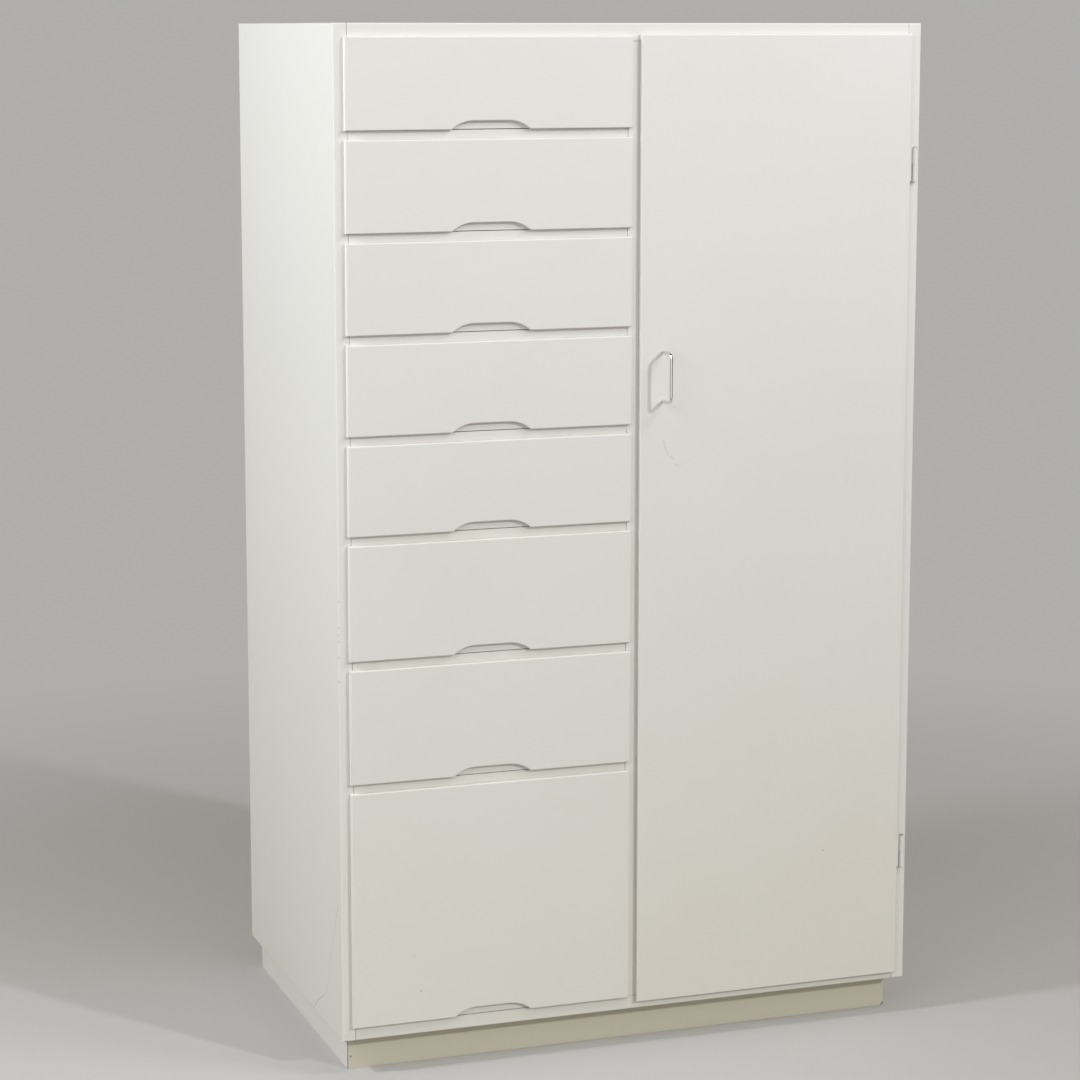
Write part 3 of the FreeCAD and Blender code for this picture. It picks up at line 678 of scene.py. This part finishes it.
# Round lamps: width and place in metres, and tint
LAMPS = {
    "fill": (3.4, (-3.15, -3.23, 2.79), (0.93, 0.98, 1.0)),
    "side": (0.5, (-2.95, -0.50, 2.70), (0.95, 0.98, 1.0)),
    "top": (1.0, (1.5, -1.7, 3.2), (0.97, 0.98, 1.0)),
}
LAMP_TARGET = Vector((0.0, -0.1, 0.95))
KEY_TINT = (0.97, 0.98, 1.0)
ROOM_TINT = (1.0, 0.90, 0.79)

# What polished metal mirrors: a bright window in a dark room
WINDOW = (-0.33, -0.936, -0.122)
WINDOW_EDGE = (0.66, 0.80)
DARK_ROOM = (0.05, 0.047, 0.043)

# The floor fades into the backdrop between two distances from the middle
FLOOR_RADIUS = 7.0
FLOOR_FADE = (0.9, 3.0)
FLOOR_SEEN = 1.25
FLOOR_BOUNCE = 0.8


class CupboardStage(bpy.types.Operator):
    """Sets up the floor, the lamps, the pale surroundings and the camera."""

    bl_idname = "cupboard.stage"
    bl_label = "Stage"

    def execute(self, context):
        scene = context.scene
        scene.view_settings.view_transform = "Standard"
        shader_groups()
        self.floor()
        self.surroundings(scene)
        self.key_light()
        for name in LAMPS:
            self.lamp(name)
        self.camera(scene)
        return {"FINISHED"}

    def floor(self):
        bm = bmesh.new()
        bmesh.ops.create_circle(bm, cap_ends=True, segments=96, radius=FLOOR_RADIUS)
        mesh = bpy.data.meshes.new("floor")
        bm.to_mesh(mesh)
        bm.free()
        floor = bpy.data.objects.new("floor", mesh)
        bpy.context.scene.collection.objects.link(floor)
        tree, surface, material = new_material("studio_floor")
        tone = tuple(studio().floor)
        here = tree.here()
        grain = tree.noise(here, 60.0, 4.0)
        seen = self.seen(tree)
        lit = tuple(FLOOR_BOUNCE * value for value in tone)
        shown = tuple(FLOOR_SEEN * value for value in tone)
        pale = tree.blend(seen, lit, shown)
        speckled = tree.blend(tree.times(grain, 0.06), pale, (0.4, 0.4, 0.4))
        tree.feed(surface["Base Color"], speckled)
        tree.feed(surface["Roughness"], 0.7)
        relief(tree, surface, grain, 0.3 * MM)
        glow = tree.node("ShaderNodeEmission", {"Color": tone, "Strength": 1.0}).outputs[0]
        far = tree.times(tree.ease(tree.vector("LENGTH", here), *FLOOR_FADE), seen)
        finish = tree.tree.nodes["Material Output"].inputs["Surface"]
        plain = finish.links[0].from_socket
        tree.feed(finish, tree.node("ShaderNodeMixShader", {0: far, 1: plain, 2: glow}).outputs[0])
        mesh.materials.append(material)

    def seen(self, tree):
        """One for rays that see the surroundings, nought for rays that only light."""
        path = tree.node("ShaderNodeLightPath").outputs
        mirrored = tree.math("MAXIMUM", path["Is Glossy Ray"], path["Is Transmission Ray"])
        return tree.math("MAXIMUM", path["Is Camera Ray"], mirrored)

    def surroundings(self, scene):
        scene.world = bpy.data.worlds.new("studio")
        scene.world.use_nodes = True
        scene.world.node_tree.nodes.clear()
        tree = Tree(scene.world.node_tree)
        given = {"Color": ROOM_TINT, "Strength": studio().ambient}
        light = tree.node("ShaderNodeBackground", given).outputs[0]
        outward = tree.node("ShaderNodeTexCoord").outputs["Generated"]
        window = tree.vector("DOT_PRODUCT", outward, WINDOW)
        looked_at = tree.node("ShaderNodeLightPath").outputs["Is Camera Ray"]
        room = tree.blend(tree.ease(window, *WINDOW_EDGE), DARK_ROOM, (1.0, 1.0, 1.0))
        tone = tree.blend(tree.minus(1.0, looked_at), tuple(studio().floor), room)
        pale = tree.node("ShaderNodeBackground", {"Color": tone, "Strength": 1.0}).outputs[0]
        both = tree.node("ShaderNodeMixShader", {0: self.seen(tree), 1: light, 2: pale}).outputs[0]
        tree.node("ShaderNodeOutputWorld", {"Surface": both})

    def key_light(self):
        """Parallel light from the right of the front's normal."""
        data = bpy.data.lights.new("key_light", "SUN")
        data.energy = studio().key_strength
        data.angle = studio().key_spread
        data.color = KEY_TINT
        turn = Matrix.Rotation(studio().key_azimuth, 4, "Z")
        tilt = Matrix.Rotation(math.pi / 2 - studio().key_elevation, 4, "X")
        light = bpy.data.objects.new("key_light", data)
        light.matrix_world = turn @ tilt
        bpy.context.scene.collection.objects.link(light)

    def lamp(self, name):
        """A round soft lamp."""
        width, place, tint = LAMPS[name]
        data = bpy.data.lights.new(f"{name}_lamp", "AREA")
        data.energy = getattr(studio(), f"{name}_power")
        data.shape = "DISK"
        data.size = width
        data.color = tint
        lamp = bpy.data.objects.new(f"{name}_lamp", data)
        lamp.location = place
        lamp.rotation_euler = (LAMP_TARGET - lamp.location).to_track_quat("-Z", "Y").to_euler()
        bpy.context.scene.collection.objects.link(lamp)

    def camera(self, scene):
        data = bpy.data.cameras.new("camera")
        data.sensor_width = SENSOR
        data.lens = studio().lens
        data.shift_x, data.shift_y = (pixels / FRAME_PIXELS for pixels in FRAME_SHIFT)
        data.clip_end = 60.0
        camera = bpy.data.objects.new("camera", data)
        turn = Matrix.Rotation(-studio().camera_yaw, 4, "Z")
        tilt = Matrix.Rotation(math.pi / 2 - studio().camera_pitch, 4, "X")
        camera.matrix_world = Matrix.Translation(studio().camera_place) @ turn @ tilt
        scene.collection.objects.link(camera)
        scene.camera = camera


# The crack's points on the left side, back from the middle and up, and the chips' heights, in mm
CRACK = ((-258, 283), (-236, 235), (-219, 191), (-195, 132), (-177, 109), (-132, 85), (-103, 62))
CHIPS = (780, 738, 727, 716, 690, 651)
WIDE_JOINT = 1.2 * MM
NARROW_JOINT = 0.9 * MM


class CupboardCarcass(bpy.types.Operator):
    """Paints the sides, the top, the bottom, the partition, the rails and the plinth."""

    bl_idname = "cupboard.carcass"
    bl_label = "Carcass"

    def execute(self, context):
        left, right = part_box("top_panel")[0].x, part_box("top_panel")[1].x
        bay_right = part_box("partition")[0].x
        levels = (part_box("top_panel")[0].z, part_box("bottom_panel")[1].z)
        marks = self.side_marks()
        dress(
            ["side_panel_left", "side_panel_right"],
            painted("side_paint", ALONG_Z, ageing=0.24, wear=0.22, corner_dirt_and_shade=0.15, marks=marks),
        )
        dress(
            ["partition"], painted("partition_paint", ALONG_Z, joints=[(2, levels, NARROW_JOINT)])
        )
        dress(
            ["top_panel", "bottom_panel"],
            painted("cross_paint", ALONG_X, wear=0.24, joints=[(0, (left, right), WIDE_JOINT)]),
        )
        dress(
            [f"rail_{n}" for n in range(1, 8)],
            painted("rail_paint", ALONG_X, joints=[(0, (left, bay_right), WIDE_JOINT)]),
        )
        self.plinth()
        return {"FINISHED"}

    def side_marks(self):
        """The long crack low on the left side, and chips on its front arris."""
        side, front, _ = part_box("side_panel_left")[0]
        marks = [
            ((side, y0 * MM, z0 * MM), (side, y1 * MM, z1 * MM), 0.6 * MM, 3 * MM, 0.75)
            for (y0, z0), (y1, z1) in zip(CRACK, CRACK[1:])
        ]
        marks += [
            ((side, front, z * MM), (side + MM, front, (z + 2) * MM), 1.1 * MM, 0.5 * MM, 0.6)
            for z in CHIPS
        ]
        return marks

    def plinth(self):
        """Aged paint, with extra warmth on the front as painted bounce light, a worn corner, and a
        hairline under the side panels.
        """
        face, (_, _, top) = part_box("plinth_front")
        corner = ((face.x, face.y, 0.0), (face.x, face.y, top))
        nail = ((face.x + 5 * MM, face.y, 20 * MM), (face.x + 6 * MM, face.y, 21 * MM))
        knock = ((-face.x - 4 * MM, face.y, MM), (-face.x, face.y, 6 * MM))
        worn = [
            (*corner, 1.6 * MM, 2 * MM, 0.8),
            (*nail, 1.6 * MM, 0.5 * MM, 0.9),
            (*knock, 2.5 * MM, MM, 0.7),
        ]
        # The front's heavy ageing also paints in the warm light bounced onto it.
        front = painted("plinth_paint", ALONG_X, ageing=0.8, wear=0.42, marks=worn)
        sides = painted(
            "plinth_side_paint", ALONG_Y, ageing=0.15, wear=0.40,
            joints=[(2, (top,), WIDE_JOINT)], marks=worn[:1],
        )
        dress(["plinth_front"], front)
        dress(["plinth_left", "plinth_right", "plinth_back"], sides)


# The shelf battens' thickness, and their screws' places from the front, the back and the top
BATTEN = 12 * MM
BATTEN_SCREWS = (70 * MM, 90 * MM, 10 * MM)


class CupboardInside(bpy.types.Operator):
    """Finishes the shelves, battens, runners and the back, with their screws."""

    bl_idname = "cupboard.inside"
    bl_label = "Inside"

    def execute(self, context):
        tones = colours()
        shelves = [f"shelf_{n}" for n in SHELVES]
        dress(shelves + ["shelf_battens"], painted("shelf_paint", ALONG_X, ageing=0.35, wear=0.35))
        dress(
            ["drawer_runners"],
            timber("runner_wood", (0, 0, math.radians(-90)), tones.pine, tones.pine_rings, 3 * MM),
        )
        dress(
            ["back_panel"],
            timber("back_wood", (0, math.radians(90), 0), tones.board, tones.pine_rings, 9 * MM),
        )
        steel = plated("zinc_steel", tones.steel, 0.28, 0.3)
        low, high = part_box("shelf_battens")
        from_front, from_back, below = BATTEN_SCREWS
        depths = (low.y + from_front, high.y - from_back)
        levels = [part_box(shelf)[0].z - below for shelf in shelves]
        for side, x, facing in (("left", low.x, 1), ("right", high.x, -1)):
            places = [(x + BATTEN * facing, y, z) for z in levels for y in depths]
            screws(
                f"batten_screws_{side}", "cabinet", steel, places, (facing, 0, 0),
                sizes().small_screw / 2, 1.2 * MM,
            )
        return {"FINISHED"}


def spotted(front, spots):
    """Marks on a front face. A spot is its two ends across and up, its width and wander, all in mm,
    and how dark it is."""
    return [
        ((x0 * MM, front, z0 * MM), (x1 * MM, front, z1 * MM), broad * MM, wander * MM, depth)
        for (x0, z0), (x1, z1), broad, wander, depth in spots
    ]


# Specks on the drawer faces
FACE_SPOTS = (
    ((-369.8, 135.6), (-369.6, 132.8), 0.9, 0.3, 0.55),
    ((-381.2, 195.5), (-380.5, 193.3), 1.5, 0.5, 0.18),
)

# The thickness of a box's front board, and its screws' places from the sides, below and above
BOX_FRONT = 16 * MM
FACE_SCREWS = (70 * MM, 45 * MM, 30 * MM)


class CupboardDrawers(bpy.types.Operator):
    """Makes the drawer faces with their finger notches, and finishes the dovetailed boxes."""

    bl_idname = "cupboard.drawers"
    bl_label = "Drawers"

    def execute(self, context):
        tones = colours()
        specks = spotted(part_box("drawer_8_face")[0].y, FACE_SPOTS)
        paint = painted("face_paint", ALONG_X, ageing=0.28, wear=0.2, marks=specks)
        boards = timber(
            "box_wood", (0, 0, math.radians(-90)), tones.pine, tones.pine_rings,
            painted_to=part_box("drawer_1_box")[0].y + 0.4 * MM,
        )
        bottoms = timber("drawer_bottom_board", (0, 0, 0), tones.board, tones.pine_rings, 8 * MM)
        steel = bpy.data.materials["zinc_steel"]
        beside, below, above = FACE_SCREWS
        for number in DRAWERS:
            self.face(number, paint)
            dress([f"drawer_{number}_box"], boards)
            dress([f"drawer_{number}_bottom"], bottoms)
            low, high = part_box(f"drawer_{number}_box")
            places = [
                (x, low.y + BOX_FRONT, z)
                for x in (low.x + beside, high.x - beside) for z in (low.z + below, high.z - above)
            ]
            screws(
                f"face_screws_{number}", f"drawer_{number}", steel, places,
                (0, 1, 0), sizes().small_screw / 2, 1.4 * MM,
            )
        return {"FINISHED"}

    def face(self, number, paint):
        """A board with softened front arrises. Its notch is bevelled behind."""
        low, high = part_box(f"drawer_{number}_face")
        box_low, box_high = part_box(f"drawer_{number}_box")
        middle = (box_low.x + box_high.x) / 2
        half_flat = sizes().notch_flat / 2
        run = (sizes().notch_width - sizes().notch_flat) / 2
        rise = sizes().notch_depth
        radius = (run ** 2 + rise ** 2) / (2 * rise)
        sweep = math.asin(run / radius)
        steps = sizes().arc_steps
        back = high.y
        crown = low.z + rise
        left_centre = (middle - half_flat, back, crown - radius)
        right_centre = (middle + half_flat, back, crown - radius)
        bm = bmesh.new()
        start = bm.verts.new((middle - half_flat, back, crown))
        point = drawn(bm, start, (2 * half_flat, 0, 0))
        point = swung(bm, point, right_centre, (0, 1, 0), sweep, steps)
        point = drawn(bm, point, (high.x - point.co.x, 0, 0))
        point = drawn(bm, point, (0, 0, high.z - low.z))
        point = drawn(bm, point, (low.x - high.x, 0, 0))
        point = drawn(bm, point, (0, 0, low.z - high.z))
        point = drawn(bm, point, (middle - half_flat - run - low.x, 0, 0))
        swung(bm, point, left_centre, (0, 1, 0), sweep, steps)
        bmesh.ops.remove_doubles(bm, verts=bm.verts, dist=NEARLY)
        bmesh.ops.contextual_create(bm, geom=bm.edges[:])
        pushed(bm, only_face(bm), (0, low.y - high.y, 0))
        bmesh.ops.recalc_face_normals(bm, faces=bm.faces)

        def lies(edge, y):
            return all(abs(vert.co.y - y) < NEARLY for vert in edge.verts)

        def in_notch(vert):
            return abs(vert.co.x - middle) < half_flat + run + NEARLY and vert.co.z < crown + NEARLY

        rim = [edge for edge in bm.edges if lies(edge, back) and all(map(in_notch, edge.verts))]
        rounded(bm, rim, sizes().grip_bevel, 1)
        rounded(bm, [edge for edge in bm.edges if lies(edge, low.y)], sizes().arris, 4)
        node = f"drawer_{number}_face"
        finished(bm, f"face_{number}", f"drawer_{number}", paint, [node], 30.0)


# Scratches under the handle and specks on the door
DOOR_SPOTS = (
    ((47, 1014), (50, 1002), 1.6, 1, 0.16),
    ((50, 1002), (54, 991), 2.2, 1, 0.12),
    ((59, 988), (63, 984), 2.4, 1, 0.14),
    ((68, 974), (73, 971), 2.6, 1, 0.12),
    ((341.0, 302.4), (342.8, 301.8), 1.1, 1, 0.65),
    ((371.4, 935), (374.4, 929), 0.9, 1, 0.15),
)
CHROME = (0.78, 0.76, 0.73)
HANDLE_SCREW_HEAD = 2 * MM


class CupboardDoor(bpy.types.Operator):
    """Paints the door and makes its wire handle with the two screws behind."""

    bl_idname = "cupboard.door"
    bl_label = "Door and handle"

    def execute(self, context):
        marks = spotted(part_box("door_panel")[0].y, DOOR_SPOTS)
        dress(["door_panel"], painted("door_paint", ALONG_Z, ageing=0.32, wear=0.2, marks=marks))
        self.handle(plated("chrome", CHROME, 0.04, 0.04))
        low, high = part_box("handle_screws")
        middle = (low.x + high.x) / 2
        head = (high.x - low.x) / 2
        seat = high.y - HANDLE_SCREW_HEAD
        places = [(middle, seat, low.z + head), (middle, seat, high.z - head)]
        screws(
            "handle_screw_heads", "door", bpy.data.materials["zinc_steel"], places,
            (0, 1, 0), head, HANDLE_SCREW_HEAD, ["handle_screws"],
        )
        return {"FINISHED"}

    def handle(self, chrome):
        """Round wire, drawn out from one foot over two bends to the other."""
        low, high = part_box("door_handle")
        radius = sizes().wire / 2
        bend = sizes().wire_bend
        x = (low.x + high.x) / 2
        leg = high.y - low.y - radius - bend
        foot = low.z + radius
        head = high.z - radius
        turn = high.y - leg
        bm = bmesh.new()
        bmesh.ops.create_circle(
            bm, cap_ends=True, segments=36, radius=radius,
            matrix=Matrix.Translation((x, high.y, foot)) @ Matrix.Rotation(math.pi / 2, 4, "X"),
        )
        face = pushed(bm, only_face(bm), (0, -leg, 0))
        face = bent(bm, face, (x, turn, foot + bend), (-1, 0, 0), math.pi / 2)
        face = pushed(bm, face, (0, 0, head - foot - 2 * bend))
        face = bent(bm, face, (x, turn, head - bend), (-1, 0, 0), math.pi / 2)
        pushed(bm, face, (0, leg, 0))
        finished(bm, "wire_handle", "door", chrome, ["door_handle"], 60.0)


# The hinge screws' places above and below the middle, and in from the leaves' free edges
LEAF_SCREW_STEP = 17 * MM
FRAME_LEAF_SCREWS = 19 * MM
DOOR_LEAF_SCREWS = 16 * MM

# The pins' shank radius, and the height of the cap's rim and of its dome
PIN_SHANK = 1.5 * MM
PIN_RIM = 0.6 * MM
PIN_DOME = 2.6 * MM


class CupboardHinges(bpy.types.Operator):
    """Finishes the hinge leaves, and makes the domed pins and the wood screws."""

    bl_idname = "cupboard.hinges"
    bl_label = "Hinges"

    def execute(self, context):
        paint = painted("hinge_paint", ALONG_Z, ageing=0.05, wear=0.40, arris=0.9 * MM, corner_dirt_and_shade=0.08)
        leaves = [f"hinge_{part}_leaf_{hinge}" for part in ("frame", "door") for hinge in HINGES]
        dress(leaves, paint)
        steel = bpy.data.materials["zinc_steel"]
        self.pins(steel)
        frame_seats, door_seats = [], []
        for hinge in HINGES:
            low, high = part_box(f"hinge_frame_leaf_{hinge}")
            middle = (low.z + high.z) / 2
            door_low, door_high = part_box(f"hinge_door_leaf_{hinge}")
            for step in (-LEAF_SCREW_STEP, LEAF_SCREW_STEP):
                frame_seats.append((low.x, high.y - FRAME_LEAF_SCREWS, middle + step))
                door_seats.append((door_low.x + DOOR_LEAF_SCREWS, door_high.y, middle + step))
        radius, height = sizes().screw_head / 2, sizes().screw_height
        screws(
            "frame_hinge_screws", "cabinet", steel, frame_seats, (-1, 0, 0),
            radius, height,
        )
        screws(
            "door_hinge_screws", "door", steel, door_seats, (0, 1, 0),
            radius, height,
        )
        return {"FINISHED"}

    def pins(self, steel):
        """Each pin is a turned profile: a shank up to a low dome."""
        low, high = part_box("hinge_pins")
        x, y = (low.x + high.x) / 2, (low.y + high.y) / 2
        cap = (high.x - low.x) / 2
        bm = bmesh.new()
        for hinge in HINGES:
            foot, head = (corner.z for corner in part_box(f"hinge_door_leaf_{hinge}"))
            rim = head + PIN_RIM
            earlier = set(bm.verts)
            point = bm.verts.new((x, y, foot))
            point = drawn(bm, point, (PIN_SHANK, 0, 0))
            point = drawn(bm, point, (0, 0, head - foot))
            point = drawn(bm, point, (cap - PIN_SHANK, 0, 0))
            point = drawn(bm, point, (0, 0, rim - head))
            swung(bm, point, (x, y, rim), (0, -1, 0), math.pi / 2, 6)
            profile = [vert for vert in bm.verts if vert not in earlier]
            bmesh.ops.scale(
                bm, verts=[vert for vert in profile if vert.co.z > rim + NEARLY],
                vec=(1, 1, (PIN_DOME + head - rim) / cap), space=Matrix.Translation((0, 0, -rim)),
            )
            edges = list({edge for vert in profile for edge in vert.link_edges})
            bmesh.ops.spin(
                bm, geom=profile + edges, cent=(x, y, 0), axis=(0, 0, 1), dvec=(0, 0, 0),
                angle=2 * math.pi, steps=32, use_merge=True, use_duplicate=False,
            )
        finished(bm, "domed_pins", "door", steel, ["hinge_pins"], 35.0)


# The catch: its case's rounding and flecks, each steel plate's two sides in mm from the case's
# left, and the plates' reach and inset
CASE_ROUNDING = 1.2 * MM
CASE_FLECK = (0.10, 0.07, 0.05)
PLATES = ((2.5, 4.0), (9.0, 10.5))
PLATE_REACH = 6 * MM
PLATE_INSET = 5 * MM


class CupboardCatch(bpy.types.Operator):
    """Makes the magnetic catch in its case, and finishes its strike plate."""

    bl_idname = "cupboard.catch"
    bl_label = "Catch"

    def execute(self, context):
        steel = bpy.data.materials["zinc_steel"]
        tree, surface, case = new_material("catch_case")
        here = tree.here()
        sparkle = tree.noise(here, 900.0, 3.0)
        flecked = tree.blend(tree.ease(sparkle, 0.3, 0.8), colours().catch, CASE_FLECK)
        tree.feed(surface["Base Color"], flecked)
        tree.feed(surface["Roughness"], tree.ease(tree.noise(here, 200.0), 0.2, 0.8, 0.38, 0.55))
        relief(tree, surface, sparkle, 0.03 * MM)
        low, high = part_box("catch_magnet")
        bm = bmesh.new()
        self.block(bm, low + Vector((0, CASE_ROUNDING, 0)), high, CASE_ROUNDING)
        finished(bm, "catch_case", "cabinet", case, ["catch_magnet"], 30.0)
        bm = bmesh.new()
        for near, far in PLATES:
            corner = Vector((low.x + near * MM, low.y, low.z + PLATE_INSET))
            across = Vector((low.x + far * MM, low.y + PLATE_REACH, high.z - PLATE_INSET))
            self.block(bm, corner, across, 0.3 * MM)
        finished(bm, "catch_plates", "cabinet", steel, (), 30.0)
        dress(["catch_strike"], steel)
        return {"FINISHED"}

    def block(self, bm, low, high, radius):
        """A block with rounded edges between two corners."""
        middle = (low + high) / 2
        size = high - low
        made = bmesh.ops.create_cube(
            bm, size=1.0, matrix=Matrix.Translation(middle) @ Matrix.Diagonal((*size, 1.0))
        )
        edges = list({edge for vert in made["verts"] for edge in vert.link_edges})
        rounded(bm, edges, radius, 3)


OPERATORS = (
    CupboardStage,
    CupboardCarcass,
    CupboardInside,
    CupboardDrawers,
    CupboardDoor,
    CupboardHinges,
    CupboardCatch,
)


class CupboardPanel(bpy.types.Panel):
    """Lists the pieces and their settings in the sidebar."""

    bl_idname = "VIEW3D_PT_cupboard"
    bl_label = "Painted Cupboard"
    bl_space_type = "VIEW_3D"
    bl_region_type = "UI"
    bl_category = "Cupboard"

    def draw(self, context):
        layout = self.layout
        for operator in OPERATORS:
            layout.operator(operator.bl_idname)
        for settings in (colours(), sizes(), studio()):
            box = layout.box()
            for name in settings.__annotations__:
                box.prop(settings, name)


SETTINGS = {
    "cupboard_colours": CupboardColours,
    "cupboard_sizes": CupboardSizes,
    "cupboard_studio": CupboardStudio,
}
CLASSES = (*SETTINGS.values(), *OPERATORS, CupboardPanel)


def register():
    for cls in CLASSES:
        bpy.utils.register_class(cls)
    for name, group in SETTINGS.items():
        setattr(bpy.types.Scene, name, PointerProperty(type=group))


def unregister():
    for name in SETTINGS:
        delattr(bpy.types.Scene, name)
    for cls in reversed(CLASSES):
        bpy.utils.unregister_class(cls)


def main():
    register()
    for operator in OPERATORS:
        group, name = operator.bl_idname.split(".")
        getattr(getattr(bpy.ops, group), name)()


if __name__ == "__main__":
    main()
